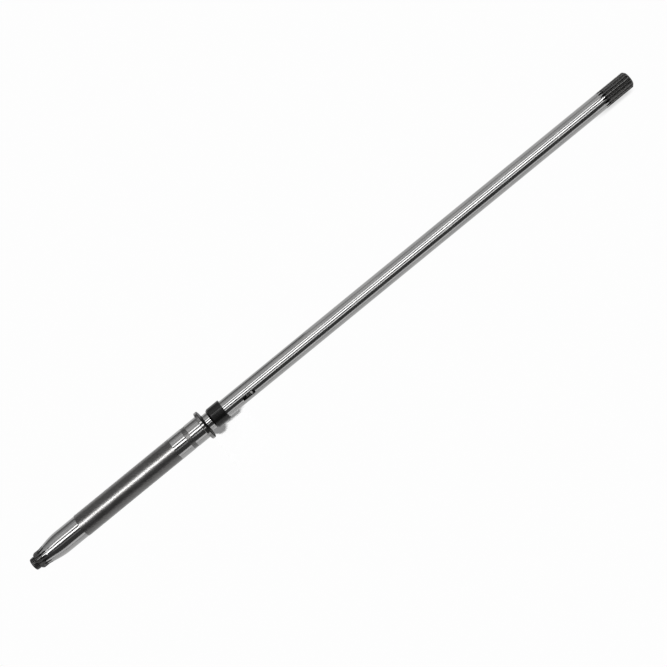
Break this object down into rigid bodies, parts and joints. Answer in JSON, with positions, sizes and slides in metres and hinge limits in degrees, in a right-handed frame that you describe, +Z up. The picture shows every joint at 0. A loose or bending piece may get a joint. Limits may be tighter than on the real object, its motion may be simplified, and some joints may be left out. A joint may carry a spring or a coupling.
{
  "type": "drive shaft",
  "caption": "Long stepped steel shaft with a thrust flange, ground bearing seats, a spline at each end, a half-moon keyseat and a black seal sleeve on the bar.",
  "frame": {"origin": "on the shaft's axis, at the bearing shoulder, which is the pinion-side face of the thrust flange", "axes": "+X along the shaft's axis towards the engine spline, -X towards the pinion, +Z up as the shaft lies in the picture, with the keyseat 31.5 degrees from +Z towards -Y"},
  "size_m": [0.8996, 0.038, 0.0378],
  "materials": {
    "shaft_steel": "forged and turned steel, ground bright on the bar, the cone and the seats, dark and matt on the body, the flange and the spline teeth",
    "sleeve_black": "satin black"
  },
  "bodies": {
    "root": {"drive_shaft": "shaft_steel", "seal_sleeve": "sleeve_black"}
  },
  "joints": []
}
